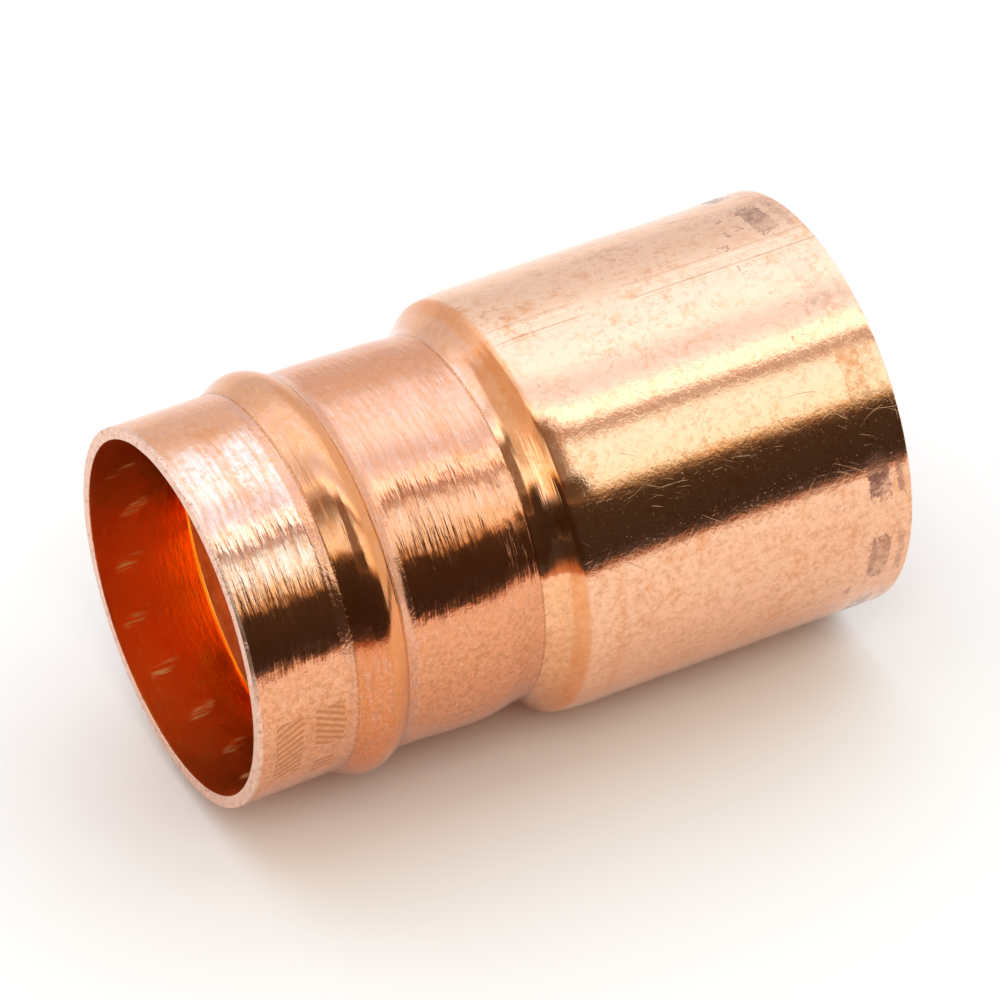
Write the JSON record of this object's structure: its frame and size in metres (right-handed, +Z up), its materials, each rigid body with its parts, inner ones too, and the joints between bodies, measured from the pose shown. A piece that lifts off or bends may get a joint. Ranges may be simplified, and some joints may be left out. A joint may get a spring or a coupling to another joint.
{
  "type": "concentric pipe reducer",
  "caption": "Straight copper reducer: a plain spigot steps down through a shoulder to a beaded socket that holds a ring of solder for the smaller tube.",
  "frame": {"origin": "centre of the socket mouth, on the fitting's axis", "axes": "+X along the fitting's axis, from the socket mouth to the spigot end, with the fitting lying on its side and +Z up"},
  "size_m": [0.0686, 0.042, 0.042],
  "materials": {
    "copper": "bare copper, brushed round the socket and neck, lightly scratched and spotted with oxide",
    "solder": "dull grey solder wire, rolled flat, with a ragged edge"
  },
  "bodies": {
    "root": {"copper_body": "copper", "solder_ring": "solder"}
  },
  "joints": []
}
